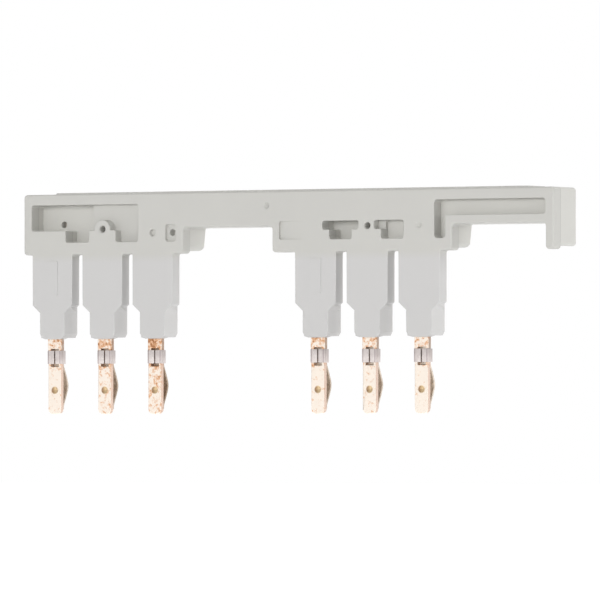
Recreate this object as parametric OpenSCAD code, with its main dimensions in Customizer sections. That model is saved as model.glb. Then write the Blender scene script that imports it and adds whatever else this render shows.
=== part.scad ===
// Parallel link for two contactors that stand side by side.
// Three copper busbars are moulded into one grey insulating housing. Each busbar ends in two
// plug pins, one for each contactor, so that it joins the same pole of both.
// X runs along the bar, with 0 at the common edge of the two contactors.
// Z is up, with 0 at the lower ends of the legs. The pins point down.
// Y is depth, with 0 in the middle plane of the plug pins. The front faces -Y.

/* [Contactors] */
// Width of one contactor, and so the distance between the two pins of a busbar
module_w = 45; // [44.5:0.1:46]
// Spacing of the poles
pole_pitch = 8.65; // [8.4:0.05:8.8]
// Distance from a contactor's left edge to its first pole
first_pole = 5.2; // [5:0.05:5.6]

/* [Bar] */
// Distance of the bar's left end inside the left contactor's outer edge
left_gap = 0.25; // [0:0.05:0.4]
// Distance of the bar's right end inside the right contactor's outer edge
right_gap = 0.33; // [0:0.01:1]
// Height of the bar's top above the leg ends
bar_top = 21.25; // [21.1:0.1:23]
// Height of the beam's underside between the blocks
beam_bottom = 16.1; // [15.9:0.1:16.3]
// Height of the underside of the blocks, where the legs begin
block_bottom = 12.28; // [12:0.1:12.6]
// Depth of the whole bar
bar_depth = 6.9; // [6.4:0.1:8]
// Depth of the front half, up to the parting line
front_depth = 2.05; // [1.9:0.05:2.3]
// Reach of the left block past its last pole
left_block_over = 5.23; // [4.9:0.05:6]
// Reach of the right block before its first pole
right_block_lead = 7.33; // [6.8:0.05:8]
// Reach of the right block past its last pole
right_block_over = 5.45; // [5.2:0.05:6]
// Thickness of the hook at the right end
hook_w = 1.4; // [1.05:0.01:2]
// Radius of the outline's corners
corner_r = 0.5; // [0.2:0.05:0.5]

/* [Rear half] */
// Step up of the undersides at the parting line
rear_step = 0.5; // [0.1:0.05:0.7]
// Step in of the left block's side at the parting line, at the beam
left_inset = 0.1; // [0.1:0.01:0.6]
// Step in of the right block's sides at the parting line, at the beam
right_inset = 0.45; // [0.1:0.05:0.6]
// Further lean of the blocks' sides down to their lower ends
rear_lean = 0.3; // [0.05:0.05:0.5]
// Height of the raised strip on the top
strip_h = 0.22; // [0.1:0.02:0.5]
// Distance of the raised strip from the left end of the bar
strip_left = 5.08; // [2:0.02:15]
// Distance of the raised strip from the right end of the bar
strip_right = 4.56; // [2:0.02:15]
// Distance of the raised strip from the front and from the rear
strip_edge = 0.9; // [0.6:0.1:1.5]

/* [Legs] */
// Width of a leg
leg_w = 6.9; // [6.6:0.02:7.2]
// Width of a leg's lower end at its front
nose_w = 4.22; // [3.8:0.02:4.8]
// Width of a leg's lower end at its rear
tail_w = 6.24; // [5.6:0.02:6.5]
// Height of the lower end below the shoulders
nose_h = 3.7; // [3:0.1:4.5]
// Height of the shoulders
shoulder_h = 1.2; // [0.9:0.1:1.8]
// Height of the taper on the sides of the lower end
taper_h = 0.6; // [0.3:0.05:0.8]
// Width of the taper on the sides of the lower end
taper_w = 0.3; // [0.1:0.05:0.4]
// Drop of a leg's end from its sides to its pin
gusset_h = 0.2; // [0.1:0.02:0.5]
// Width of the raised pad on the first leg of each group
pad_w = 1.9; // [1:0.1:3]
// Height of the raised pad
pad_h = 5.1; // [3:0.1:5.8]
// Distance of the raised pad below its block
pad_drop = 0.95; // [0.5:0.05:1.2]
// How far the raised pad stands out
pad_t = 0.1; // [0.04:0.01:0.15]

/* [Busbars and pins] */
// Thickness of the copper strip
copper_t = 0.7; // [0.5:0.05:0.8]
// Depth of the pins' front face behind the bar's front
pin_front = 0.75; // [0.6:0.05:0.85]
// Distance between the layers of the three busbars
layer_step = 1.6; // [1.4:0.05:1.7]
// Height of a busbar's run above the beam's underside
run_lift = 1.5; // [1.3:0.1:1.7]
// Width of a busbar's run
run_h = 2.7; // [2:0.1:2.9]
// Height of the set-over from a busbar's layer to its pin, above the blocks' underside
jog_lift = 1.8; // [1.2:0.1:2]
// Bend radius outside the set-over
bend_r = 0.6; // [0.2:0.05:0.65]
// Width of the risers inside the blocks
riser_w = 1.9; // [1.6:0.05:2]
// Width of the pins' necks
neck_w = 2.44; // [2.28:0.02:2.5]
// Width of a pin's blade
blade_w = 2.25; // [2.05:0.05:2.25]
// Length of a pin below its leg
pin_l = 11.3; // [10.8:0.1:13]
// Corner radius of a pin's tip
tip_r = 0.72; // [0.3:0.05:0.9]
// Diameter of the dimple in a blade
dimple_d = 0.95; // [0.6:0.05:1.2]
// Depth of the dimple
dimple_t = 0.2; // [0.1:0.02:0.3]
// Height of the dimple above the tip
dimple_up = 3.54; // [3:0.02:4.2]
// Width of the window behind a clip band, through which its spring shows
window_w = 1.3; // [0.8:0.05:1.6]
// Reach of the window above the band
window_over = 0.25; // [0.1:0.05:0.5]
// Reach of the window below the band
window_under = 0.4; // [0.1:0.05:0.6]

/* [Clip bands and contact springs] */
// Distance of a clip band below its leg
band_drop = 1.88; // [1.4:0.02:2.4]
// Height of a clip band
band_h = 1.98; // [1.5:0.02:2.4]
// Sheet thickness of a clip band
band_t = 0.18; // [0.1:0.02:0.3]
// Corner radius of a clip band
band_r = 0.3; // [0.1:0.02:0.4]
// Width of the slit between a clip band's ends
slit_w = 0.24; // [0.1:0.02:0.5]
// Sheet thickness of a contact spring
spring_t = 0.35; // [0.2:0.05:0.4]
// Width of a contact spring
spring_w = 2; // [1.6:0.05:2.05]
// How far a contact spring bows out behind its blade
spring_bow = 1.3; // [0.6:0.05:1.5]
// Sharpness of the bow's crest, from a gentle arc to a pointed gable
spring_crest = 4; // [1:0.5:8]
// Reach of a contact spring's upper end above the window
spring_head = 0.25; // [0.1:0.05:0.5]
// Straight length of a contact spring below its band
spring_lead = 0.3; // [0.1:0.05:0.6]
// Length of the flat foot at a spring's lower end
spring_foot = 0.5; // [0.2:0.05:0.8]
// Distance from a spring's lower end to the tip of its pin
spring_up = 0.75; // [0.2:0.05:1]

/* [Pockets in the front] */
// Wall between the left pocket and the end of the bar
pocket_wall = 1.35; // [1:0.05:1.6]
// Wall above the end pockets
pocket_roof = 1.6; // [1.3:0.05:2]
// Wall between the pockets and the blocks' underside
pocket_sill = 1.83; // [1.6:0.05:2.2]
// Corner radius of the pockets
pocket_r = 0.35; // [0.2:0.05:0.4]
// Corner radius of the long pocket
long_r = 0.5; // [0.3:0.05:0.65]
// Distance of the end pockets from the nearest pole
pocket_clear = 2.5; // [2.2:0.05:2.8]
// Depth of the deep part of the left pocket
left_deep = 3.4; // [2.6:0.1:3.6]
// Depth of the shallow part of the left pocket
left_shallow = 1.6; // [1.2:0.1:2.2]
// Plastic between the deep part and the second riser
riser_skin = 1.5; // [0.8:0.05:1.8]
// Half width of the filled foot round a riser
fill_half = 2.3; // [2:0.05:2.5]
// Height of the filled foot above the blocks' underside
fill_h = 3.57; // [3.3:0.05:3.7]
// Radius of the round boss on the second riser
boss_r = 1.35; // [1.1:0.05:1.6]
// Top of the small pockets above the blocks' underside
small_top = 4.5; // [4.2:0.05:4.6]
// Height of the small pockets' wider part above the blocks' underside
wide_h = 3.25; // [3:0.05:3.5]
// Distance from a riser to the wider part of the pocket after it
after_clear = 1.12; // [1.1:0.02:1.4]
// Distance from the wider part of a pocket to the riser after it
before_clear = 1.45; // [1.4:0.05:1.8]
// Distance from the narrower part of a pocket to the riser after it
before_fill = 2.6; // [2.3:0.05:2.8]
// Depth of the first small pocket
first_deep = 3.5; // [2.5:0.1:3.8]
// Depth of the second small pocket
second_deep = 2.3; // [1.9:0.1:2.6]
// Depth of the notch beside the second small pocket
notch_deep = 1.5; // [1:0.1:1.7]
// Depth of the long pocket in the right end
long_deep = 2.2; // [1.5:0.1:3]
// Width of the upright arm of the long pocket
arm_w = 1.82; // [1.4:0.02:2.4]
// Wall below the long pocket
long_sill = 1.3; // [1:0.05:1.5]
// Depth of the sloping recess before the fourth pole
ramp_deep = 0.4; // [0.2:0.05:0.9]
// Wall between the sloping recess and the end of its block
ramp_wall = 1.19; // [0.8:0.05:1.5]
// Distance from the sloping recess to the pole after it
ramp_clear = 1.6; // [1.2:0.05:2]
// Width of the small keyway after the third pole
key_w = 1.75; // [1.4:0.05:2.2]
// Height of the keyway
key_h = 2.45; // [2:0.05:2.6]
// Depth of the keyway
key_deep = 0.6; // [0.3:0.05:1]
// Distance from the third pole to the middle of the keyway
key_after = 3.1; // [2.9:0.05:3.6]

/* [Holes in the front] */
// Diameter of the deep holes in front of the risers
hole_d = 0.92; // [0.6:0.02:1.1]
// Height of the holes above the blocks' underside
hole_h = 3.75; // [3.3:0.05:4.2]
// Further height of the hole in front of the first riser
first_hole_up = 0.8; // [0.5:0.05:1.2]
// Drop of the two holes at the right of the left block
low_hole_drop = 0.62; // [0.3:0.02:0.9]
// Depth of the hole in the keyway
key_hole_deep = 2; // [1:0.1:3]
// Depth of the shallow hole in front of the third riser
shallow_hole_deep = 0.6; // [0.3:0.05:1]
// Diameter of the small conical marks
mark_d = 1; // [0.5:0.05:1.1]
// Depth of the small conical marks
mark_t = 0.5; // [0.2:0.05:0.6]
// Distance of the mark on the beam from the right block
beam_mark_x = 0.93; // [0.5:0.01:2]
// Distance of the mark on the beam below the bar's top
beam_mark_drop = 2.1; // [1.5:0.05:3]

/* [Hidden] */
$fn = 48;
past = 1;
poles = 3;
count = 2 * poles;
bow_steps = 24;
bar_left = module_w - left_gap;
bar_right = module_w - right_gap;
pole_x = [for (i = [0 : count - 1])
    first_pole + pole_pitch * (i % poles) - (i < poles ? module_w : 0)];
left_block_x = pole_x[poles - 1] + left_block_over;
right_block_x = pole_x[poles] - right_block_lead;
right_block_end = pole_x[count - 1] + right_block_over;
hook_x = bar_right - hook_w;
pin_rear = pin_front + copper_t;
pin_plane = pin_front + copper_t / 2;
spring_rear = pin_rear + spring_t;
run_bottom = beam_bottom + run_lift;
jog_z = block_bottom + jog_lift;
shoulder_z = nose_h + shoulder_h;
hole_z = block_bottom + hole_h;
fill_top = block_bottom + fill_h;
pocket_bottom = block_bottom + pocket_sill;
pocket_top = bar_top - pocket_roof;
small_pocket_top = block_bottom + small_top;
wide_z = block_bottom + wide_h;
key_x = pole_x[2] + key_after;
plastic = "lightgray";
copper = "peru";
spring_copper = "darkgoldenrod";
tinned = "silver";
busbar_nodes = [for (k = [1 : poles]) str("busbar_", k)];
spring_nodes = [for (i = [1 : count]) str("contact_spring_", i)];
band_nodes = [for (i = [1 : count]) str("clip_band_", i)];

// Depth of the front of a busbar's layer: the busbar of the first pole lies deepest
function layer_front(k) = pin_rear + layer_step * (poles - 1 - k);

// Bow of a contact spring at s from -1 to 1: a hyperbola, round at the crest and straight beside it
function hyperbola(s) = sqrt(1 + pow(spring_crest * s, 2));
function bow(s) = spring_bow * (hyperbola(1) - hyperbola(s)) / (hyperbola(1) - 1);

// Everything is drawn with depth counted from the bar's front, and moved to the pin plane here
module placed() {
    translate([0, -pin_plane, 0]) children();
}

// Turns an outline in X and Z into a slab between two depths
module slab(from, to) {
    translate([0, to, 0]) rotate([90, 0, 0]) linear_extrude(to - from) children();
}

// Turns an outline in depth and Z into a strip of a given width, centred on X = 0
module strip(width) {
    translate([-width / 2, 0, 0]) rotate([90, 0, 90]) linear_extrude(width) children();
}

// Rectangle with round corners, given by its left, right, lower and upper edges
module rounded(x0, x1, z0, z1, r) {
    for (x = [x0 + r, x1 - r], z = [z0 + r, z1 - r]) translate([x, z]) circle(r);
    translate([x0 + r, z0]) square([x1 - x0 - 2 * r, z1 - z0]);
    translate([x0, z0 + r]) square([x1 - x0, z1 - z0 - 2 * r]);
}

// Fillet between the beam's underside and the side of a block at x, on its right (1) or left (-1)
module beam_fillet(x, side) {
    translate([x, beam_bottom]) mirror([side < 0 ? 1 : 0, 0]) difference() {
        translate([-corner_r, -corner_r]) square(2 * corner_r);
        translate([corner_r, -corner_r]) circle(corner_r);
        translate([corner_r, 0]) square(corner_r);
    }
}

// Front half: beam, two blocks and the hook at the right end
module front_outline() {
    rounded(-bar_left, bar_right, beam_bottom, bar_top, corner_r);
    rounded(-bar_left, left_block_x, block_bottom, bar_top, corner_r);
    rounded(right_block_x, right_block_end, block_bottom, bar_top, corner_r);
    rounded(hook_x, bar_right, block_bottom, bar_top, corner_r);
    beam_fillet(left_block_x, 1);
    beam_fillet(right_block_x, -1);
    beam_fillet(right_block_end, 1);
    beam_fillet(hook_x, -1);
}

// Block behind the parting line. Its sides step in, and lean where they face a gap.
module rear_block(x0, x1, lean0, lean1) {
    lower = block_bottom + rear_step;
    polygon([
        [x0, bar_top - corner_r], [x0, beam_bottom], [x0 + lean0, lower + corner_r],
        [x0 + lean0 + corner_r, lower], [x1 - lean1 - corner_r, lower], [x1 - lean1, lower + corner_r],
        [x1, beam_bottom], [x1, bar_top - corner_r]]);
}

// Rear half: the same outline, but with smaller blocks
module rear_outline() {
    rounded(-bar_left, bar_right, beam_bottom, bar_top, corner_r);
    rear_block(-bar_left, left_block_x - left_inset, 0, rear_lean);
    rear_block(right_block_x + right_inset, right_block_end - right_inset, rear_lean, rear_lean);
    rounded(hook_x, bar_right, block_bottom + rear_step, bar_top, corner_r);
}

module bar() {
    slab(0, front_depth) front_outline();
    slab(front_depth, bar_depth) rear_outline();
    slab(strip_edge, bar_depth - strip_edge)
        translate([-bar_left + strip_left, bar_top - strip_h])
            square([bar_left + bar_right - strip_left - strip_right, 2 * strip_h]);
}

// Outline of a leg, from inside its block down over a small step to the lower end
module leg_outline() {
    half = leg_w / 2;
    low = tail_w / 2;
    step_z = shoulder_z - half + low;
    polygon([
        [-half, pocket_bottom], [-half, shoulder_z], [-low, step_z], [-low, 0],
        [low, 0], [low, step_z], [half, shoulder_z], [half, pocket_bottom]]);
}

// Cut on the right side of a leg's lower end. It makes the end narrow in front and wide at the rear,
// with a shoulder that rises at 45 degrees above it and a taper below.
module side_cut() {
    slant = atan((tail_w - nose_w) / 2 / front_depth);
    translate([nose_w / 2, 0, 0]) rotate([0, 0, -slant]) slab(-past, 2 * front_depth)
        polygon([
            [0, taper_h], [0, nose_h], [leg_w, nose_h + leg_w],
            [leg_w, -past], [-taper_w * (1 + past / taper_h), -past]]);
}

// Low middle of a leg's end, from its sides down to the two edges of its pin
module gussets() {
    out = (nose_w - taper_w) / 2;
    half = neck_w / 2;
    polygon([[-out, taper_h], [-out, 0], [-half, -gusset_h], [half, -gusset_h], [out, 0], [out, taper_h]]);
}

module leg() {
    difference() {
        slab(0, front_depth) leg_outline();
        side_cut();
        mirror([1, 0, 0]) side_cut();
    }
    slab(0, pin_rear) gussets();
}

// Raised plain pad on the front of a leg
module leg_pad() {
    top = block_bottom - pad_drop;
    slab(-pad_t, 0) rounded(-pad_w / 2, pad_w / 2, top - pad_h, top, pad_w / 8);
}

// Large pocket in the left block, round the filled feet of the first two risers
module left_pocket_outline() {
    right = pole_x[2] - pocket_clear;
    difference() {
        union() {
            rounded(-bar_left + pocket_wall, right, fill_top, pocket_top, pocket_r);
            rounded(pole_x[0] + fill_half, pole_x[1] - fill_half, pocket_bottom, pocket_top, pocket_r);
            rounded(pole_x[1] + fill_half, right, pocket_bottom, pocket_top, pocket_r);
        }
        translate([pole_x[1], hole_z]) circle(boss_r);
        translate([pole_x[1] - boss_r, 0]) square([2 * boss_r, hole_z]);
    }
}

// The left pocket is deep where only the rear busbar passes, and shallow where two do
module left_pocket() {
    step_x = pole_x[1] - riser_w / 2 - riser_skin;
    slab(-past, left_shallow) left_pocket_outline();
    intersection() {
        slab(-past, left_deep) left_pocket_outline();
        translate([-bar_left, -past, 0]) cube([bar_left + step_x, past + left_deep, bar_top]);
    }
}

// Small pockets between the risers of the right block, each wider above than below
module small_pockets() {
    first = pole_x[3];
    second = pole_x[4];
    third = pole_x[5];
    slab(-past, first_deep) {
        rounded(first + after_clear, second - before_clear, wide_z, small_pocket_top, pocket_r);
        rounded(first + fill_half, second - before_fill, pocket_bottom, small_pocket_top, pocket_r);
    }
    slab(-past, notch_deep)
        rounded(second + after_clear, third - before_fill, wide_z, small_pocket_top, pocket_r);
    slab(-past, second_deep)
        rounded(second + fill_half, third - before_fill, pocket_bottom, small_pocket_top, pocket_r);
}

// Long pocket in the right end: an upright arm beside the last riser and a run to the hook
module long_pocket() {
    x0 = pole_x[5] + pocket_clear;
    slab(-past, long_deep) {
        rounded(x0, x0 + arm_w, pocket_bottom, pocket_top, long_r);
        rounded(x0, hook_x, beam_bottom + long_sill, pocket_top, long_r);
    }
}

// Recess that slopes up to the front, before the fourth pole
module ramp() {
    x0 = right_block_x + ramp_wall;
    x1 = pole_x[3] - ramp_clear;
    rise = ramp_deep / (x1 - x0);
    intersection() {
        slab(-past, ramp_deep) rounded(x0, x1 + past, pocket_bottom, small_pocket_top, pocket_r);
        linear_extrude(bar_top) polygon([[x0, ramp_deep], [x0, -past], [x1 + past / rise, -past]]);
    }
}

// Keyway with round corners after the third pole
module keyway() {
    slab(-past, key_deep)
        rounded(key_x - key_w / 2, key_x + key_w / 2, pocket_bottom, pocket_bottom + key_h, pocket_r);
}

// Round hole from the front to a depth
module front_hole(x, z, depth) {
    translate([x, -past, z]) rotate([-90, 0, 0]) cylinder(d = hole_d, h = past + depth);
}

// Holes at which the risers of the two deeper busbars were held in the mould
module holes() {
    front_hole(pole_x[0], hole_z + first_hole_up, layer_front(0));
    for (i = [1, 1 + poles]) front_hole(pole_x[i], hole_z, layer_front(1));
    front_hole(key_x, hole_z - low_hole_drop, key_hole_deep);
    front_hole(pole_x[2], hole_z - low_hole_drop, shallow_hole_deep);
}

// Conical mark in the front
module mark(x, z) {
    reach = past * mark_d / 2 / mark_t;
    translate([x, -past, z]) rotate([-90, 0, 0])
        cylinder(d1 = mark_d + 2 * reach, d2 = 0, h = past + mark_t);
}

module marks() {
    mark(pole_x[5], hole_z);
    mark(right_block_x - beam_mark_x, bar_top - beam_mark_drop);
}

module housing() {
    color(plastic) difference() {
        union() {
            bar();
            for (x = pole_x) translate([x, 0, 0]) leg();
            for (i = [0, poles]) translate([pole_x[i], 0, 0]) leg_pad();
        }
        left_pocket();
        small_pockets();
        long_pocket();
        ramp();
        keyway();
        holes();
        marks();
        for (k = [0 : poles - 1]) busbar(k);
    }
}

// Sliver that rounds a corner at the origin, for a solid that fills the first quadrant
module corner_cut(r) {
    difference() {
        translate([-past, -past]) square(r + past);
        translate([r, r]) circle(r);
        translate([r, -past]) square(r + past);
        translate([-past, r]) square(r + past);
    }
}

// Riser of a busbar, from its run down to the set-over that brings it forward to the pin
module riser(k) {
    front = layer_front(k);
    rear = front + copper_t;
    strip(riser_w) difference() {
        union() {
            translate([front, jog_z]) square([copper_t, run_bottom + run_h - jog_z]);
            translate([pin_front, jog_z]) square([rear - pin_front, copper_t]);
        }
        translate([rear, jog_z]) mirror([1, 0]) corner_cut(bend_r);
        translate([pin_front, jog_z + copper_t]) mirror([0, 1]) corner_cut(bend_r);
    }
}

// Plug pin: neck, then a narrower blade with a window, a dimple and a round tip
module pin() {
    dimple_r = (pow(dimple_d / 2, 2) + pow(dimple_t, 2)) / (2 * dimple_t);
    difference() {
        slab(pin_front, pin_rear) {
            translate([-neck_w / 2, -band_drop]) square([neck_w, jog_z + band_drop]);
            rounded(-blade_w / 2, blade_w / 2, -pin_l, 0, tip_r);
        }
        translate([0, pin_front + dimple_t - dimple_r, dimple_up - pin_l]) sphere(dimple_r);
        translate([-window_w / 2, pin_front - past, -band_drop - band_h - window_under])
            cube([window_w, copper_t + 2 * past, window_over + band_h + window_under]);
    }
}

module busbar(k) {
    ends = [pole_x[k], pole_x[k + poles]];
    front = layer_front(k);
    color(copper) {
        slab(front, front + copper_t)
            translate([ends[0] - riser_w / 2, run_bottom]) square([ends[1] - ends[0] + riser_w, run_h]);
        for (x = ends) translate([x, 0, 0]) {
            riser(k);
            pin();
        }
    }
}

// Leaf spring behind a blade: held under the band, bowed out, and flat again at its foot
module contact_spring() {
    head = -band_drop + window_over + spring_head;
    foot = -pin_l + spring_up;
    upper = -band_drop - band_h - spring_lead;
    lower = foot + spring_foot;
    steps = [for (j = [0 : bow_steps]) 2 * j / bow_steps - 1];
    function at(s) = (upper + lower) / 2 - s * (upper - lower) / 2;
    color(spring_copper) strip(spring_w) polygon(concat(
        [[spring_rear, head]],
        [for (s = steps) [spring_rear + bow(s), at(s)]],
        [[spring_rear, foot], [pin_rear, foot]],
        [for (s = steps) [pin_rear + bow(-s), at(-s)]],
        [[pin_rear, head]]));
}

// Sheet band closed round a blade and its spring, with a slit in front
module clip_band() {
    half = blade_w / 2;
    color(tinned) translate([0, 0, -band_drop - band_h]) linear_extrude(band_h) difference() {
        rounded(-half - band_t, half + band_t, pin_front - band_t, spring_rear + band_t, band_r);
        translate([-half, pin_front]) square([blade_w, spring_rear - pin_front]);
        translate([-slit_w / 2, pin_front - band_t - past]) square([slit_w, band_t + 2 * past]);
    }
}

placed() housing();
for (k = [0 : poles - 1])
    placed() busbar(k);
for (i = [0 : count - 1]) {
    placed() translate([pole_x[i], 0, 0]) contact_spring();
    placed() translate([pole_x[i], 0, 0]) clip_band();
}
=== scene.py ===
"""Looks of a contactor parallel link: a moulded grey bar whose copper plug pins hang in two groups of three.

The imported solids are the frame. The housing and the busbars are shown as copies with rounded edges. The contact
springs and the clip bands are swept again with soft edges. Each gets a finish worked out from real sizes.
"""

import math

import bmesh
import bpy
import numpy as np
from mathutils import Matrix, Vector


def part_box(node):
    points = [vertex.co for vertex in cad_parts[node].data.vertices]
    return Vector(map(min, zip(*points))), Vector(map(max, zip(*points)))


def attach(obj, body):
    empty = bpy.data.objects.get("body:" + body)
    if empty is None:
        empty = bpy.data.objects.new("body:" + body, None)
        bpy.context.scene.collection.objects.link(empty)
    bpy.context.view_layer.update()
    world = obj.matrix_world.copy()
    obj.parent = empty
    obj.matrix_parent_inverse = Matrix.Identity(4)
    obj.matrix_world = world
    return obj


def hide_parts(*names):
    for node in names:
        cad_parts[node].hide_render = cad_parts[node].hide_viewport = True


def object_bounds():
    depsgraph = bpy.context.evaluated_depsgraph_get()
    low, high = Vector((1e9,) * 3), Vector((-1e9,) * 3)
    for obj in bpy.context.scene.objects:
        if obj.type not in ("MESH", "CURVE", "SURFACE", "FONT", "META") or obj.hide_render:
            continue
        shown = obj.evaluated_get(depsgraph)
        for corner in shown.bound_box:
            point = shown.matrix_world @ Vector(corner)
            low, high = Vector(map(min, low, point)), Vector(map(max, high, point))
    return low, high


bl_info = {
    "name": "Contactor parallel link",
    "version": (1, 0, 0),
    "blender": (4, 5, 0),
    "location": "View3D > Sidebar > Parallel link",
    "description": "Dresses the solids of a contactor parallel link and sets them in a pale studio",
    "category": "Object",
}

MM = 0.001
BODY = "root"
POLES = range(1, 7)
BUSBARS = range(1, 4)
# The point in the middle of the photograph, on the fronts of the legs.
PHOTO_MIDDLE = Vector((2.6, -1.04, 5.283)) * MM
# A face looks along an axis where the cosine between the two is above this.
LOOKS_ALONG = 0.9
# A radius takes no more than this share of the room beside its edge.
ROUNDED_SHARE = 0.42
# An edge of the solids that is shorter than this is closed up.
SHORTEST_EDGE = 0.01 * MM
# An edge lies in a plane where its middle is nearer to it than this.
NEAR = 0.02 * MM

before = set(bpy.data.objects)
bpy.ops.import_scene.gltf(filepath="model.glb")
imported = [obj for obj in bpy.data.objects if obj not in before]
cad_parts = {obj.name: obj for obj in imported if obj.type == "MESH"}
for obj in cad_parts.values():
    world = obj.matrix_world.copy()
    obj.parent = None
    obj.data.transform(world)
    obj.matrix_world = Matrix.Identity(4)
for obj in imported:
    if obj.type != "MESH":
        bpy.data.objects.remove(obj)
CAD_LOW, CAD_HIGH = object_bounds()


def linear(hex_colour):
    """Linear RGBA of an sRGB hex colour such as #c8c7c2."""
    srgb = np.array([int(hex_colour[i : i + 2], 16) for i in (1, 3, 5)]) / 255
    low, high = srgb / 12.92, ((srgb + 0.055) / 1.055) ** 2.4
    return (*np.where(srgb <= 0.04045, low, high).tolist(), 1.0)


def length(name, description, millimetres):
    """A length property whose default is given in millimetres."""
    return bpy.props.FloatProperty(
        name=name, description=description, default=millimetres * MM, min=0, precision=5, unit="LENGTH"
    )


def angle(name, description, degrees):
    """An angle property whose default is given in degrees."""
    return bpy.props.FloatProperty(
        name=name, description=description, default=math.radians(degrees), unit="ROTATION"
    )


def colour(name, description, hex_colour):
    """A colour property whose default is an sRGB hex value."""
    return bpy.props.FloatVectorProperty(
        name=name,
        description=description,
        default=linear(hex_colour),
        size=4,
        min=0,
        max=1,
        subtype="COLOR",
    )


def factor(name, description, value):
    """A plain number property, such as a roughness or the strength of a lamp."""
    return bpy.props.FloatProperty(name=name, description=description, default=value, min=0)


class HousingSettings(bpy.types.PropertyGroup):
    """Edges and finish of the moulded housing."""

    bar_edge: length("Bar edge", "Radius along the outer edges of the bar", 0.3)
    fine_edge: length("Fine edge", "Radius along the edges of legs, pockets and holes", 0.12)
    shoulder_edge: length("Shoulder edge", "Radius along the edges of the legs' shoulders", 0.02)
    pad_edge: length("Pad edge", "Radius along the edges of the raised pads", 0.012)
    pad_depth: length("Pad depth", "How far the raised pads stand out", 0.1)
    underside: length("Highest underside", "Height up to which a face looking down is an underside", 16.5)
    parting: length("Parting line", "Depth of the parting line behind the pins' middle plane", 0.95)
    pocket_after: length("Pocket after pole", "From a pole to a line through the pocket after it", 3.1)
    beam_mark: length("Beam mark", "From the beam's mark to the fourth pole", 8.26)
    ramp_middle: length("Ramp middle", "From the middle of the sloping recess to the fourth pole", 3.7)
    plastic: colour("Plastic", "Light grey of the moulded plastic", "#c9c8c3")
    clouding: colour("Clouding", "Grey of the faint clouds that the melt leaves", "#c3c2be")
    # Painted light: the plastic behind the parting line is painted paler, which lifts the rear end face and the
    # pocket floors.
    rear_painted_light: colour("Rear plastic", "Paler grey of the plastic behind the parting line", "#cecdc8")
    # Painted shade: a fine dark line at the parting line stands in for the shade in the groove where the two
    # halves of the mould met.
    seam: length("Seam", "Width of the fine line where the two halves of the mould met", 0.1)
    seam_groove_shade: colour("Seam shade", "Grey of that line", "#aaa9a4")
    thin_plastic: colour("Thin plastic", "Cooler grey of the plastic in the thin legs", "#cac9c8")
    leg_top: length("Leg top", "Height at which the legs meet the bar", 12.28)
    leg_fade: length("Leg fade", "Height over which the bar's grey turns to that of the legs", 1.228)
    cloud_size: length("Cloud size", "Width of a faint cloud in the plastic", 9)
    grit_size: length("Grit size", "Width of a grain of the eroded mould texture", 0.35)
    grit_depth: length("Grit depth", "Height of a grain of the mould texture", 0.004)


class CopperSettings(bpy.types.PropertyGroup):
    """Edges and finish of the stamped copper and of the springs."""

    pin_edge: length("Pin edge", "Radius along the edges of the plug pins", 0.09)
    bright: colour("Bright copper", "Copper where the blade was wiped clean", "#ece1d5")
    warm: colour("Warm copper", "Copper where the wiping left more of its colour", "#d9a983")
    tarnish: colour("Tarnish", "Brown of the tarnish spots", "#9c6a48")
    # The sides that look left or right are painted darker, partly for the rougher sheared copper and partly as
    # painted shade, and darker still at the necks and tips.
    cut: colour("Cut sides", "Copper of the sides that the punch sheared", "#d2b5a4")
    dull_shaded_cut: colour("Dull cut sides", "Dulled copper on the sheared sides of necks and tips", "#9a8272")
    # The dimple's darker copper is partly its duller metal and partly painted shade in the dent; its left rim is
    # a painted shadow.
    dimple: colour("Dimple", "Dull copper in the dimple", "#d0b892")
    dimple_rim_shadow: colour("Dimple rim", "Darker copper at the dimple's left rim", "#9c7c5a")
    # Painted shade: from the height below, the copper seen in the holes of the bar is drawn as a matt grey,
    # standing in for the shade there.
    skin: colour("Skin", "Matt skin that the copper kept under the plastic, seen in the holes", "#bdb6ac")
    hole_shade_from: length("Skin from", "Height from which the copper kept its matt skin", 12)
    spring: colour("Spring copper", "Colour of the copper alloy of the bowed springs", "#efe4d6")
    spring_dull: colour("Dull spring", "Colour of the springs where they have dulled", "#a8937f")
    spring_wear: factor("Spring wear", "How much more strongly the springs show the tarnish", 5)
    spot_size: length("Spot size", "Width of a tarnish spot", 0.5)
    wipe_top: length("Wiped from", "How far below the legs the wiped part of a blade begins", 4.8)
    wipe_fade: length("Wipe fade", "Height over which the wiping fades", 0.6)
    tip_top: length("Tip", "How far below the legs the tip begins", 10.4)
    dimple_drop: length("Dimple drop", "From the legs' ends down to the middle of the dimple", 7.76)
    dimple_width: length("Dimple width", "Width of the dimple", 0.95)


class BandSettings(bpy.types.PropertyGroup):
    """Form and finish of the clip bands."""

    sheet: length("Sheet", "Thickness of the band's tinned sheet", 0.18)
    corner: length("Corner", "Outer radius of the band's corners", 0.38)
    slit: length("Slit", "Width of the slit in the band's front", 0.2)
    curl: length("Curl", "How far the edges of the slit turn into the window behind them", 0.12)
    curl_width: length("Curl width", "Width of the turned edge beside the slit", 0.3)
    edge: length("Edge", "Radius along the sheet's cut edges", 0.06)
    tin: colour("Tin", "Colour of the tinned sheet", "#dfd8d5")
    # The dull grey serves both the real dull patches and the painted shade on the band's sides.
    dull_and_shaded_tin: colour("Dull tin", "Colour of tin where it has dulled", "#b2a8a5")
    cloud_size: length("Cloud size", "Width of a dulled patch", 0.8)
    # Painted reflection: a dark line at each bend stands in for the darker reflection at the band's corners.
    bend: length("Bend line", "From the middle of the band to the dark line at each bend", 1.0)
    bend_width: length("Bend line width", "Width of the dark line at a bend", 0.13)
    bend_reflection_shade: colour("Bent tin", "Colour of tin that has cracked along a bend", "#8f8184")


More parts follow.
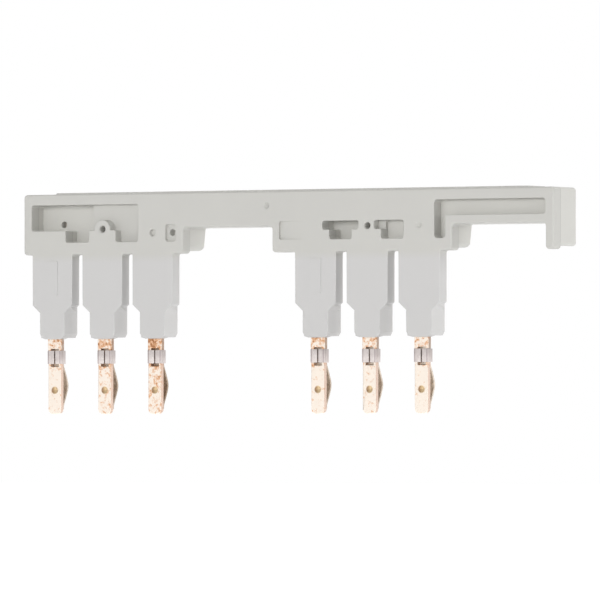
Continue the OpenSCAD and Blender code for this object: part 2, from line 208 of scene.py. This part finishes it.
class StageSettings(bpy.types.PropertyGroup):
    """Camera, floor and light."""

    azimuth: angle("Azimuth", "How far the camera stands to the right of the front", 30)
    elevation: angle("Elevation", "How far the camera stands above the horizon", -0.916)
    distance: length("Distance", "From the camera to the point it looks at", 1271)
    focal_length: bpy.props.FloatProperty(
        name="Focal length",
        description="Lens that gives the photograph's frame",
        default=522.9,
        unit="CAMERA",
    )
    white: colour("White", "Colour of the light and of the background", "#ffffff")
    paper: colour("Paper", "Colour of the floor's paper", "#ededed")
    floor_drop: length("Floor drop", "How far the floor lies below the pin tips", 34)
    floor_reach: length("Floor reach", "From the middle of the floor to its sides", 4000)
    paper_glow: factor("Paper glow", "Strength at which the floor's paper shines to the camera", 0.9)
    horizon: factor("Horizon light", "Strength of the light from the walls, at the horizon", 1.3)
    zenith: factor("Zenith light", "Strength of the light from above the walls", 0.28)
    wall_top: factor("Wall top", "Sine of the elevation at which the walls end", 0.35)
    floor_light: factor("Floor light", "Strength of the light that the paper sends up", 0.2)
    front: factor("Front light", "Power of the wide, low lamp in front, in watts", 4.2)
    side: factor("Side light", "Power of the wide, low lamp at the right, in watts", 3.2)
    top: factor("Top light", "Power of the high lamp behind, in watts", 4)
    lamp_distance: length("Lamp distance", "From each lamp to the point that it lights", 1000)


def add_node(tree, kind, links=(), output=0, **settings):
    """Adds a node, sets its properties, sets or links its inputs, and gives the output that other nodes take.

    The inputs come in order, or by their name or place.
    """
    node = tree.nodes.new(f"ShaderNode{kind}")
    for name, value in settings.items():
        setattr(node, name, value)
    for key, value in (links if isinstance(links, dict) else dict(enumerate(links))).items():
        if isinstance(value, bpy.types.NodeSocket):
            tree.links.new(value, node.inputs[key])
        else:
            node.inputs[key].default_value = value
    return node.outputs[output]


def new_material(name):
    """A named material with its node tree and its Principled shader."""
    material = bpy.data.materials.new(name)
    material.use_nodes = True
    return material, material.node_tree, material.node_tree.nodes["Principled BSDF"]


def layered(tree, ground, layers):
    """A ground colour with layers over it, each of which covers what is below as far as its share goes."""
    for share, cover in layers:
        # Places 6 and 7, and the output in place 2, are the colours.
        ground = add_node(tree, "Mix", {0: share, 6: ground, 7: cover}, output=2, data_type="RGBA")
    return ground


def moulded_polyamide(look):
    """Light grey polyamide from an eroded mould: matt, faintly cloudy, with a fine grit that dims its gloss. It
    is painted paler behind the parting line as painted light, with a fine line of painted shade at the seam.
    """
    material, tree, shader = new_material("moulded_polyamide")
    place = add_node(tree, "TexCoord", output="Object")
    _, depth, height = add_node(tree, "SeparateXYZ", (place,)).node.outputs
    facing = add_node(tree, "SeparateXYZ", (place.node.outputs["Normal"],), output="Y")
    clouds = add_node(tree, "TexNoise", {"Vector": place, "Scale": 1 / look.cloud_size, "Detail": 3.0})
    # The real grit is about 0.05 mm wide, too fine to show here, so it is drawn coarser.
    grit = add_node(tree, "TexNoise", {"Vector": place, "Scale": 1 / look.grit_size, "Detail": 2.0})
    # Painted light: the plastic behind the parting line is painted paler, which lifts the rear end face and the
    # pocket floors.
    behind = add_node(tree, "Math", (depth, look.parting), operation="SUBTRACT")
    in_rear_half = add_node(tree, "MapRange", (behind, 0.0, look.seam))
    # The painted shade of the seam's groove shows on the faces that cross it, and not on those that look forwards
    # or back.
    from_seam = add_node(tree, "Math", (behind,), operation="ABSOLUTE")
    at_seam = add_node(tree, "MapRange", (from_seam, look.seam / 2, look.seam / 4))
    turned = add_node(tree, "Math", (facing,), operation="ABSOLUTE")
    crossing = add_node(tree, "MapRange", (turned, 0.3, 0.6, 1.0, 0.0))
    seam = add_node(tree, "Math", (at_seam, crossing), operation="MULTIPLY")
    in_leg = add_node(tree, "MapRange", (height, look.leg_top, look.leg_top - look.leg_fade))
    layers = (
        (clouds, look.clouding),
        (in_rear_half, look.rear_painted_light),
        (seam, look.seam_groove_shade),
        (in_leg, look.thin_plastic),
    )
    # Most of the grit's noise lies between these levels.
    hollow, crest = 0.3, 0.7
    smooth, rough = 0.46, 0.6
    gloss = add_node(tree, "MapRange", (grit, hollow, crest, smooth, rough))
    relief = add_node(tree, "Bump", {"Height": grit, "Strength": 0.5, "Distance": look.grit_depth})
    shader.inputs["IOR"].default_value = 1.53
    tree.links.new(layered(tree, look.plastic, layers), shader.inputs["Base Color"])
    tree.links.new(gloss, shader.inputs["Roughness"])
    tree.links.new(relief, shader.inputs["Normal"])
    return material


def pole_x(number):
    """X of the middle of a pole's pin."""
    return sum(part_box(f"clip_band_{number}"), Vector()).x / 2


def tarnished(tree, x):
    """How far a pin has tarnished: it rises in a line up to the third pin, and falls in a line to the last."""
    first, most, last = 0.0, 0.1, -0.03
    rise = add_node(tree, "MapRange", (x, pole_x(1), pole_x(3), first, most))
    fall = add_node(tree, "MapRange", (x, pole_x(3), pole_x(6), most, last))
    return add_node(tree, "Math", (rise, fall), operation="MINIMUM")


def across_pin(tree, x):
    """How far a point lies to the right of the nearest pin's middle.

    Taken from the middle pole of the right group, X is wrapped by the distance of the two groups, and then by
    the pitch of the poles.
    """
    pole = pole_x(5)
    offset = add_node(tree, "Math", (x, pole), operation="SUBTRACT")
    for period in (pole - pole_x(2), pole - pole_x(4)):
        offset = add_node(tree, "Math", (offset, period / 2, -period / 2), operation="WRAP")
    return offset


def stamped_copper(look):
    """Stamped copper: pale where the blades were wiped, warm and spotted on the necks.

    The dimples are darker, partly duller metal and partly painted shade in the dent, with a painted shadow on the
    left rim. The sides are darker, partly the sheared metal and partly painted shade. In the holes of the bar the
    copper is painted matt grey as painted shade.
    """
    material, tree, shader = new_material("stamped_copper")
    place = add_node(tree, "TexCoord", output="Object")
    x, _, z = add_node(tree, "SeparateXYZ", (place,)).node.outputs
    facing = add_node(tree, "SeparateXYZ", (place.node.outputs["Normal"],), output="X")
    grain = {"Vector": place, "Scale": 1 / look.spot_size, "Detail": 4.0, "Roughness": 0.65}
    spots = add_node(tree, "TexNoise", grain)
    # The necks have tarnished more than the blades, and the third pin more than the outer ones.
    wiped, unwiped = -0.05, 0.07
    fade_top = look.wipe_fade - look.wipe_top
    worn = add_node(tree, "MapRange", (z, -look.wipe_top, fade_top, wiped, unwiped))
    worn = add_node(tree, "Math", (worn, tarnished(tree, x)), operation="ADD")
    stain = add_node(tree, "Math", (spots, worn), operation="ADD")
    # Levels of the stain up to which the copper is clean, and from which it is all warm and all brown.
    clean, warm, brown = 0.52, 0.66, 0.78
    warm_spots = add_node(tree, "MapRange", (stain, clean, warm))
    brown_spots = add_node(tree, "MapRange", (stain, warm, brown))
    # The dimple is a disc round its own middle that fades out just beyond its edge. Its darker copper is partly
    # duller metal and partly painted shade in the dent, and its left rim is a painted shadow.
    across = across_pin(tree, x)
    along = add_node(tree, "Math", (z, look.dimple_drop), operation="ADD")
    from_middle = add_node(tree, "CombineXYZ", {"X": across, "Z": along})
    away = add_node(tree, "VectorMath", (from_middle,), output="Value", operation="LENGTH")
    half = look.dimple_width / 2
    in_dimple = add_node(tree, "MapRange", (away, 1.3 * half, half))
    off_rim = add_node(tree, "MapRange", (across, -0.8 * half, 0.2 * half))
    dimple = layered(tree, look.dimple_rim_shadow, [(off_rim, look.dimple)])
    # The sides are painted darker from the band up the neck, and at the tip, partly for duller metal and partly
    # as painted shade. The band covers the change to the lighter sides of the blade.
    band_low, band_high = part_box("clip_band_1")
    at_neck = add_node(tree, "MapRange", (z, band_low.z, band_high.z))
    at_tip = add_node(tree, "MapRange", (z, -look.tip_top, CAD_LOW.z))
    dulled = add_node(tree, "Math", (at_neck, at_tip), operation="MAXIMUM")
    cut = layered(tree, look.cut, [(dulled, look.dull_shaded_cut)])
    # The sheared sides are those that look left or right. They are painted darker, partly for the rougher sheared
    # metal and partly as painted shade.
    turned = add_node(tree, "Math", (facing,), operation="ABSOLUTE")
    sheared_and_shaded = add_node(tree, "MapRange", (turned, 0.4, 0.8, 0.0, 0.8))
    # Painted shade: above this height the copper is drawn as a matt grey non-metal, standing in for the shade
    # where it shows in the holes of the bar, in front of the risers.
    covered = add_node(tree, "MapRange", (z, look.hole_shade_from, look.hole_shade_from + MM))
    bare = add_node(tree, "Math", (1.0, covered), operation="SUBTRACT")
    layers = (
        (warm_spots, look.warm),
        (brown_spots, look.tarnish),
        (in_dimple, dimple),
        (sheared_and_shaded, cut),
        (covered, look.skin),
    )
    shader.inputs["Roughness"].default_value = 0.3
    tree.links.new(bare, shader.inputs["Metallic"])
    tree.links.new(layered(tree, look.bright, layers), shader.inputs["Base Color"])
    return material


def spring_copper(look):
    """Rolled spring copper: a skin of oxide makes it half matt and greyer than the pins, with dull patches."""
    material, tree, shader = new_material("spring_copper")
    place = add_node(tree, "TexCoord", output="Object")
    x = add_node(tree, "SeparateXYZ", (place,), output="X")
    patches = add_node(tree, "TexNoise", {"Vector": place, "Scale": 1 / look.spot_size, "Detail": 4.0})
    worn = (tarnished(tree, x), look.spring_wear, patches)
    dulled = add_node(tree, "Math", worn, operation="MULTIPLY_ADD")
    shader.inputs["Metallic"].default_value = 0.5
    shader.inputs["Roughness"].default_value = 0.35
    tree.links.new(layered(tree, look.spring, [(dulled, look.spring_dull)]), shader.inputs["Base Color"])
    return material


def tinned_sheet(look):
    """Tinned spring sheet: a pale satin grey with soft dull patches, and painted darker at the sides as painted
    shade.

    A dark line painted at each bend stands in for the darker reflection there.
    """
    material, tree, shader = new_material("tinned_sheet")
    place = add_node(tree, "TexCoord", output="Object")
    x = add_node(tree, "SeparateXYZ", (place,), output="X")
    facing = add_node(tree, "SeparateXYZ", (place.node.outputs["Normal"],), output="X")
    patches = add_node(tree, "TexNoise", {"Vector": place, "Scale": 1 / look.cloud_size, "Detail": 4.0})
    # Painted shade: the faces that look left or right are painted towards the dull grey.
    turned = add_node(tree, "Math", (facing,), operation="ABSOLUTE")
    side_shade = add_node(tree, "MapRange", (turned, 0.5, 0.9, 0.0, 0.5))
    # Painted reflection: a dark line on each bend, at the same distance either side of the pin's middle.
    across = add_node(tree, "Math", (across_pin(tree, x),), operation="ABSOLUTE")
    past_bend = add_node(tree, "Math", (across, look.bend), operation="SUBTRACT")
    from_bend = add_node(tree, "Math", (past_bend,), operation="ABSOLUTE")
    bend_shade_line = add_node(tree, "MapRange", (from_bend, look.bend_width / 2, look.bend_width / 4))
    layers = ((patches, look.dull_and_shaded_tin), (side_shade, look.dull_and_shaded_tin), (bend_shade_line, look.bend_reflection_shade))
    shader.inputs["Metallic"].default_value = 1.0
    shader.inputs["Roughness"].default_value = 0.32
    tree.links.new(layered(tree, look.tin, layers), shader.inputs["Base Color"])
    return material


def merged_copy(node, name, cuts=()):
    """A copy of a node's mesh with its loose triangles merged, and flat triangles joined into whole faces.

    The rear end of a very short edge is welded to its front end. A cut at X splits the faces there. With a cut
    through each hole, no face goes all round one.
    """
    mesh = bpy.data.meshes.new(name)
    shell = bmesh.new()
    shell.from_mesh(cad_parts[node].data)
    bmesh.ops.remove_doubles(shell, verts=shell.verts, dist=1e-7)
    short = [edge for edge in shell.edges if edge.calc_length() < SHORTEST_EDGE]
    ends = (sorted(edge.verts, key=lambda corner: corner.co.y) for edge in short)
    bmesh.ops.weld_verts(shell, targetmap={rear: front for front, rear in ends})
    for x in cuts:
        whole = shell.verts[:] + shell.edges[:] + shell.faces[:]
        plane = {"plane_co": (x, 0, 0), "plane_no": (1, 0, 0)}
        cut = bmesh.ops.bisect_plane(shell, geom=whole, dist=1e-6, **plane)
        for part in cut["geom_cut"]:
            if isinstance(part, bmesh.types.BMEdge):
                part.seam = True
    bmesh.ops.dissolve_limit(
        shell, angle_limit=math.radians(0.5), verts=shell.verts, edges=shell.edges, delimit={"SEAM"}
    )
    shell.to_mesh(mesh)
    shell.free()
    mesh.shade_smooth()
    return mesh


def mesh_array(items, attribute, width=1, kind=float):
    """One attribute of all vertices, edges, loops or faces as an array."""
    values = np.empty(len(items) * width, kind)
    items.foreach_get(attribute, values)
    return values.reshape(-1, width) if width > 1 else values


def distance_to_segment(point, start, end):
    """Distance from points to segments: the point is dropped on the line, and held between the two ends."""
    along = end - start
    share = ((point - start) * along).sum(-1) / np.maximum((along * along).sum(-1), 1e-18)
    foot = start + np.clip(share, 0, 1)[..., None] * along
    return np.linalg.norm(point - foot, axis=-1)


def edge_facts(mesh, sharpest=math.radians(30), straight=math.radians(40), opposite=-0.7):
    """For each edge: is it sharp, which two faces meet there, what room it has, and which edges run on from it.

    An edge is sharp where its faces turn by more than the first angle. Its room is the distance, across either
    of its faces, to the nearest sharp edge that runs the opposite way round that face, by the cosine between
    the two. Two sharp edges run on from each other where they meet with a turn under the second angle.
    """
    points = mesh_array(mesh.vertices, "co", 3)
    normals = mesh_array(mesh.polygons, "normal", 3)
    ends = mesh_array(mesh.edges, "vertices", 2, np.int32)
    loop_edge = mesh_array(mesh.loops, "edge_index", kind=np.int32)
    loop_point = mesh_array(mesh.loops, "vertex_index", kind=np.int32)
    first = mesh_array(mesh.polygons, "loop_start", kind=np.int32)
    count = mesh_array(mesh.polygons, "loop_total", kind=np.int32)
    loop_face = np.repeat(np.arange(len(count)), count)
    faces = loop_face[np.argsort(loop_edge, kind="stable")].reshape(-1, 2)
    sharp = (normals[faces[:, 0]] * normals[faces[:, 1]]).sum(1) < math.cos(sharpest)
    room = np.full(len(faces), np.inf)
    for start, total in zip(first, count):
        loops = np.arange(start, start + total)
        kept = sharp[loop_edge[loops]]
        edges = loop_edge[loops][kept]
        begin, end = points[loop_point[loops]][kept], points[loop_point[np.roll(loops, -1)]][kept]
        way = unit(end - begin)
        a, b, c, d = begin[:, None], end[:, None], begin[None], end[None]
        apart = np.minimum.reduce(
            [
                distance_to_segment(a, c, d),
                distance_to_segment(b, c, d),
                distance_to_segment(c, a, b),
                distance_to_segment(d, a, b),
            ]
        )
        apart = np.where(way @ way.T < opposite, apart, np.inf)
        if len(edges):
            np.minimum.at(room, edges, apart.min(1))

    edge = np.tile(np.flatnonzero(sharp), 2)
    here = np.concatenate([ends[sharp, 0], ends[sharp, 1]])
    there = np.concatenate([ends[sharp, 1], ends[sharp, 0]])
    order = np.argsort(here, kind="stable")
    edge, here, there = edge[order], here[order], there[order]
    way = unit(points[there] - points[here])
    joined = []
    # No more than eight sharp edges meet at a point.
    for step in range(1, 8):
        meet = here[step:] == here[:-step]
        meet &= (way[step:] * way[:-step]).sum(1) < -math.cos(straight)
        joined.append(np.stack([edge[:-step], edge[step:]], -1)[meet])
    return sharp, faces, room, np.concatenate(joined)


def unit(vectors):
    """The vectors at length 1."""
    return vectors / np.maximum(np.linalg.norm(vectors, axis=-1), 1e-12)[..., None]


def along_chains(values, joined, pick):
    """Spreads the least or the greatest value, as pick says, along edges that run on from each other."""
    values = values.copy()
    while True:
        before = values.copy()
        picked = pick(values[joined[:, 0]], values[joined[:, 1]])
        pick.at(values, joined[:, 0], picked)
        pick.at(values, joined[:, 1], picked)
        if (values == before).all():
            return values


def add_piece(mesh, nodes, material):
    """Shows a mesh in place of CAD nodes, riding on the body, with its finish."""
    piece = bpy.data.objects.new(mesh.name, mesh)
    bpy.context.scene.collection.objects.link(piece)
    mesh.materials.clear()
    mesh.materials.append(material)
    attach(piece, BODY)
    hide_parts(*nodes)
    return piece


def round_edges(piece, sharp, radii, widest):
    """Rounds each edge by its own radius with one Bevel modifier, and shades the other sharp edges crisp."""
    weights = piece.data.attributes.new("bevel_weight_edge", "FLOAT", "EDGE")
    weights.data.foreach_set("value", np.clip(radii / widest, 0, 1).astype(np.float32))
    crisp = piece.data.attributes.new("sharp_edge", "BOOLEAN", "EDGE")
    crisp.data.foreach_set("value", sharp & (radii == 0))
    bevel = piece.modifiers.new("rounded_edges", "BEVEL")
    bevel.limit_method = "WEIGHT"
    bevel.width = widest
    bevel.segments = 3
    bevel.use_clamp_overlap = False
    shading = piece.modifiers.new("flat_faces", "WEIGHTED_NORMAL")
    shading.weight = 100
    shading.keep_sharp = True


def outside_of_bar(look, normals, centres):
    """Which faces lie on the outside of the bar: its top, its undersides and its two ends."""
    low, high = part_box("housing")
    x, _, z = centres.T
    outside = (normals[:, 2] > LOOKS_ALONG) & (z > high.z - MM)
    outside |= (normals[:, 2] < -LOOKS_ALONG) & (z < look.underside) & (z > look.leg_top / 2)
    outside |= (normals[:, 0] < -LOOKS_ALONG) & (x < low.x + MM)
    outside |= (normals[:, 0] > LOOKS_ALONG) & (x > high.x - MM)
    return outside


def housing_radii(look, mesh, sharp, faces, room, joined):
    """Radius of each edge: that of the bar along its outside, and the fine one along legs, pockets and holes.

    An edge that lacks the room for it gets less, and so do the edges that run on from that one.
    """
    normals = mesh_array(mesh.polygons, "normal", 3)
    centres = mesh_array(mesh.polygons, "center", 3)
    points = mesh_array(mesh.vertices, "co", 3)
    middles = points[mesh_array(mesh.edges, "vertices", 2, np.int32)].mean(1)
    outer = outside_of_bar(look, normals, centres)[faces].any(1)
    outer = along_chains(outer.astype(float), joined, np.maximum) > 0
    radii = np.minimum(np.where(outer, look.bar_edge, look.fine_edge), ROUNDED_SHARE * room)
    radii = np.where(sharp, along_chains(radii, joined, np.minimum), 0)
    # The two halves of the mould met at the parting line, so the edges there stay sharp.
    radii[np.abs(middles[:, 1] - look.parting) < NEAR] = 0
    # The legs are rounded only round their fronts, and less along the shoulders, which have a step behind.
    at_leg = middles[:, 2] < look.leg_top - NEAR
    at_front = (normals[faces][..., 1] < -LOOKS_ALONG).any(1)
    # A shoulder looks down at about 45 degrees, and lies behind the raised pads.
    shoulder = (np.abs(normals[:, 2] + 0.7) < 0.1) & (centres[:, 1] > -MM)
    radii[at_leg & shoulder[faces].any(1)] = look.shoulder_edge
    radii[at_leg & ~at_front] = 0
    # The sides of the raised pads lie between the foremost plane and the legs' fronts.
    half = look.pad_depth / 2
    pad_side = np.abs(centres[:, 1] - CAD_LOW.y - half) < half / 2
    radii[pad_side[faces].any(1) & sharp] = look.pad_edge
    return radii


class LINK_OT_mould_housing(bpy.types.Operator):
    """Shows the housing with moulded, rounded edges"""

    bl_idname = "parallel_link.mould_housing"
    bl_label = "Mould the housing"

    def execute(self, context):
        look = context.scene.link_housing
        poles = np.array([pole_x(pole) for pole in POLES])
        beside = poles[3] - np.array([look.beam_mark, look.ramp_middle])
        cuts = [*poles, *(poles + look.pocket_after), *beside]
        mesh = merged_copy("housing", "housing_moulding", cuts)
        sharp, faces, room, joined = edge_facts(mesh)
        radii = housing_radii(look, mesh, sharp, faces, room, joined)
        piece = add_piece(mesh, ["housing"], moulded_polyamide(look))
        round_edges(piece, sharp, radii, look.bar_edge)
        return {"FINISHED"}


class LINK_OT_stamp_busbars(bpy.types.Operator):
    """Shows the three busbars with the rounded edges of stamped copper"""

    bl_idname = "parallel_link.stamp_busbars"
    bl_label = "Stamp the busbars"

    def execute(self, context):
        look = context.scene.link_copper
        material = stamped_copper(look)
        for number in BUSBARS:
            mesh = merged_copy(f"busbar_{number}", f"busbar_{number}_stamping")
            sharp, _, room, joined = edge_facts(mesh)
            radii = along_chains(np.minimum(look.pin_edge, ROUNDED_SHARE * room), joined, np.minimum)
            radii = np.where(sharp, radii, 0)
            piece = add_piece(mesh, [f"busbar_{number}"], material)
            round_edges(piece, sharp, radii, look.pin_edge)
        return {"FINISHED"}


def rounded_rectangle(width, height, radius, steps=5):
    """Points round a rectangle with round corners: a quarter circle about each inner corner.

    They start at the right side and turn left.
    """
    turn = np.linspace(0, math.pi / 2, steps)[None] + np.arange(4)[:, None] * math.pi / 2
    corner_x = (width / 2 - radius) * np.array([1, -1, -1, 1])[:, None]
    corner_y = (height / 2 - radius) * np.array([1, 1, -1, -1])[:, None]
    return np.stack([corner_x + radius * np.cos(turn), corner_y + radius * np.sin(turn)], -1).reshape(-1, 2)


def swept_mesh(name, rings):
    """A closed mesh from rings of points along a path: four-sided faces between rings, and a cap on each end.

    The faces are turned outwards.
    """
    count, around = rings.shape[:2]
    row, column = np.meshgrid(np.arange(count - 1), np.arange(around), indexing="ij")
    after = (column + 1) % around
    near, far = row * around, (row + 1) * around
    sides = np.stack([near + column, near + after, far + after, far + column], -1).reshape(-1, 4)
    ring = np.arange(around)
    caps = [ring[::-1].tolist(), (ring + (count - 1) * around).tolist()]
    mesh = bpy.data.meshes.new(name)
    mesh.from_pydata(rings.reshape(-1, 3).tolist(), [], sides.tolist() + caps)
    shell = bmesh.new()
    shell.from_mesh(mesh)
    bmesh.ops.recalc_face_normals(shell, faces=shell.faces)
    shell.to_mesh(mesh)
    shell.free()
    mesh.shade_smooth()
    return mesh


def spring_rings(node, edge, steps=60):
    """A leaf's rounded section carried down its bow, which is read from the node.

    At each height of the node the bow lies midway between its front and its rear, and the section keeps the
    distance between them as its thickness.
    """
    points = mesh_array(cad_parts[node].data.vertices, "co", 3)
    low, high = points.min(0), points.max(0)
    heights, level = np.unique(points[:, 2].round(6), return_inverse=True)
    front, rear = np.full(len(heights), np.inf), np.full(len(heights), -np.inf)
    np.minimum.at(front, level, points[:, 1])
    np.maximum.at(rear, level, points[:, 1])
    down = np.linspace(high[2], low[2], steps)
    front, rear = np.interp(down, heights, front), np.interp(down, heights, rear)
    thickness = np.median(rear - front)
    section = rounded_rectangle(high[0] - low[0], thickness, edge)
    rings = np.empty((len(down), len(section), 3))
    rings[..., 0] = (low[0] + high[0]) / 2 + section[None, :, 0]
    rings[..., 1] = (front + rear)[:, None] / 2 + section[None, :, 1]
    rings[..., 2] = down[:, None]
    return rings


class LINK_OT_bow_springs(bpy.types.Operator):
    """Shows the six bowed contact springs"""

    bl_idname = "parallel_link.bow_springs"
    bl_label = "Bow the contact springs"

    def execute(self, context):
        look = context.scene.link_copper
        material = spring_copper(look)
        for pole in POLES:
            node = f"contact_spring_{pole}"
            mesh = swept_mesh(f"{node}_leaf", spring_rings(node, look.pin_edge))
            add_piece(mesh, [node], material)
        return {"FINISHED"}


def band_rings(node, look):
    """The sheet's rounded section carried round the band, from one edge of the front slit to the other.

    The path is a rectangle with round corners, half a sheet inside the node's box, opened in the middle of its
    front. Beside the slit it turns inwards by the curl, along a quarter of a cosine.
    """
    low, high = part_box(node)
    centre = (low + high) / 2
    size = high - low
    width, depth = size.x - look.sheet, size.y - look.sheet
    loop = rounded_rectangle(width, depth, look.corner - look.sheet / 2, steps=7)
    loop = np.roll(loop, len(loop) // 4, axis=0)
    inward = np.linspace(0, 1, 6)
    turned = np.stack(
        [
            look.slit / 2 + look.curl_width * inward,
            look.curl * (1 - np.sin(inward * math.pi / 2)) - depth / 2,
        ],
        -1,
    )
    path = np.concatenate([turned, loop, (turned * [-1, 1])[::-1]])
    along = unit(np.gradient(path, axis=0))
    outward = np.stack([along[:, 1], -along[:, 0]], -1)
    section = rounded_rectangle(look.sheet, size.z, look.edge, steps=4)
    rings = np.empty((len(path), len(section), 3))
    rings[..., :2] = np.array(centre.xy) + path[:, None] + section[:, :1] * outward[:, None]
    rings[..., 2] = centre.z + section[None, :, 1]
    return rings


class LINK_OT_wrap_bands(bpy.types.Operator):
    """Shows the six clip bands, closed round blade and spring with a slit in front"""

    bl_idname = "parallel_link.wrap_bands"
    bl_label = "Wrap the clip bands"

    def execute(self, context):
        look = context.scene.link_band
        material = tinned_sheet(look)
        for pole in POLES:
            node = f"clip_band_{pole}"
            add_piece(swept_mesh(f"{node}_sheet", band_rings(node, look)), [node], material)
        return {"FINISHED"}


def seen_directly(tree):
    """1 for rays from the camera, from a reflection or through glass, and 0 for rays that only carry light."""
    rays = add_node(tree, "LightPath").node.outputs
    seen = rays["Is Camera Ray"]
    for kind in ("Is Glossy Ray", "Is Transmission Ray"):
        seen = add_node(tree, "Math", (seen, rays[kind]), operation="MAXIMUM")
    return seen


def studio_air(look):
    """White to the camera and in reflections. Other rays get even light that fades from the horizon upwards."""
    world = bpy.data.worlds.new("studio_air")
    world.use_nodes = True
    tree = world.node_tree
    tree.nodes.remove(tree.nodes["Background"])
    way = add_node(tree, "TexCoord", output="Generated")
    up = add_node(tree, "SeparateXYZ", (way,), output="Z")
    level = add_node(tree, "MapRange", (up, 0.0, look.wall_top, look.horizon, look.zenith))
    light = add_node(tree, "Background", (look.white, level))
    white = add_node(tree, "Background", (look.white, 1.0))
    air = add_node(tree, "MixShader", (seen_directly(tree), light, white))
    tree.links.new(air, tree.nodes["World Output"].inputs["Surface"])
    return world


def white_paper(look):
    """White paper lit from below: it keeps a soft shadow, and glows to the camera so that it meets the air."""
    material, tree, shader = new_material("white_paper")
    glow = add_node(tree, "MapRange", (seen_directly(tree), 0.0, 1.0, look.floor_light, look.paper_glow))
    shader.inputs["Base Color"].default_value = look.paper
    shader.inputs["Roughness"].default_value = 0.9
    shader.inputs["Specular IOR Level"].default_value = 0.0
    shader.inputs["Emission Color"].default_value = look.white
    tree.links.new(glow, shader.inputs["Emission Strength"])
    return material


def around(target, azimuth, elevation, distance):
    """The point at that azimuth to the right of the front, and that elevation, round a target."""
    level = math.cos(elevation)
    back = Vector((math.sin(azimuth) * level, -math.cos(azimuth) * level, math.sin(elevation)))
    return target + back * distance


def aim(thing, target):
    """Turns a lamp or the camera to look at the target."""
    thing.rotation_euler = (target - thing.location).to_track_quat("-Z", "Y").to_euler()


def add_camera(scene, look):
    """Stands the camera where the photograph was taken."""
    camera = bpy.data.objects.new("camera", bpy.data.cameras.new("camera"))
    camera.data.lens = look.focal_length
    camera.location = around(PHOTO_MIDDLE, look.azimuth, look.elevation, look.distance)
    aim(camera, PHOTO_MIDDLE)
    scene.collection.objects.link(camera)
    scene.camera = camera


def add_floor(scene, look):
    """Lays the paper below the pin tips, as one square."""
    corners = np.array([[-1, -1, 0], [1, -1, 0], [1, 1, 0], [-1, 1, 0]]) * look.floor_reach
    corners[:, 2] = CAD_LOW.z - look.floor_drop
    sheet = bpy.data.meshes.new("paper_floor")
    sheet.from_pydata(corners.tolist(), [], [[0, 1, 2, 3]])
    sheet.materials.append(white_paper(look))
    floor = bpy.data.objects.new("paper_floor", sheet)
    scene.collection.objects.link(floor)


def add_lamps(scene, look):
    """Hangs two low, wide lamps, in front and at the right, and a high one behind."""
    # Power in watts, azimuth and elevation in degrees, width and height in metres.
    lamps = {
        "front_light": (look.front, 7, 6, 0.8, 0.2),
        "side_light": (look.side, 100, 6, 0.8, 0.2),
        "top_light": (look.top, 180, 60, 0.6, 0.6),
    }
    for name, (power, azimuth, elevation, width, height) in lamps.items():
        lamp = bpy.data.lights.new(name, "AREA")
        lamp.shape = "RECTANGLE"
        lamp.energy = power
        lamp.size = width
        lamp.size_y = height
        light = bpy.data.objects.new(name, lamp)
        turn = math.radians(azimuth), math.radians(elevation)
        light.location = around(PHOTO_MIDDLE, *turn, look.lamp_distance)
        light.visible_glossy = False
        aim(light, PHOTO_MIDDLE)
        scene.collection.objects.link(light)


class LINK_OT_set_stage(bpy.types.Operator):
    """Sets up the camera, the white floor and the soft light"""

    bl_idname = "parallel_link.set_stage"
    bl_label = "Set the stage"

    def execute(self, context):
        scene = context.scene
        look = scene.link_stage
        scene.view_settings.view_transform = "Standard"
        add_camera(scene, look)
        add_floor(scene, look)
        scene.world = studio_air(look)
        add_lamps(scene, look)
        return {"FINISHED"}


class LINK_PT_panel(bpy.types.Panel):
    """Lists the steps that dress the link, and their settings"""

    bl_label = "Parallel link"
    bl_idname = "LINK_PT_panel"
    bl_space_type = "VIEW_3D"
    bl_region_type = "UI"
    bl_category = "Parallel link"

    def draw(self, context):
        for operator in OPERATORS:
            self.layout.operator(operator.bl_idname)
        for name, group in SETTINGS.items():
            box = self.layout.box()
            for field in group.__annotations__:
                box.prop(getattr(context.scene, name), field)


SETTINGS = {
    "link_housing": HousingSettings,
    "link_copper": CopperSettings,
    "link_band": BandSettings,
    "link_stage": StageSettings,
}
OPERATORS = (
    LINK_OT_mould_housing,
    LINK_OT_stamp_busbars,
    LINK_OT_bow_springs,
    LINK_OT_wrap_bands,
    LINK_OT_set_stage,
)
CLASSES = (*SETTINGS.values(), *OPERATORS, LINK_PT_panel)


def register():
    """Makes the classes and their settings known to Blender."""
    for cls in CLASSES:
        bpy.utils.register_class(cls)
    for name, group in SETTINGS.items():
        setattr(bpy.types.Scene, name, bpy.props.PointerProperty(type=group))


def unregister():
    """Takes the settings and the classes out again."""
    for name in SETTINGS:
        delattr(bpy.types.Scene, name)
    for cls in reversed(CLASSES):
        bpy.utils.unregister_class(cls)


def main():
    register()
    bpy.ops.parallel_link.mould_housing()
    bpy.ops.parallel_link.stamp_busbars()
    bpy.ops.parallel_link.bow_springs()
    bpy.ops.parallel_link.wrap_bands()
    bpy.ops.parallel_link.set_stage()


if __name__ == "__main__":
    main()
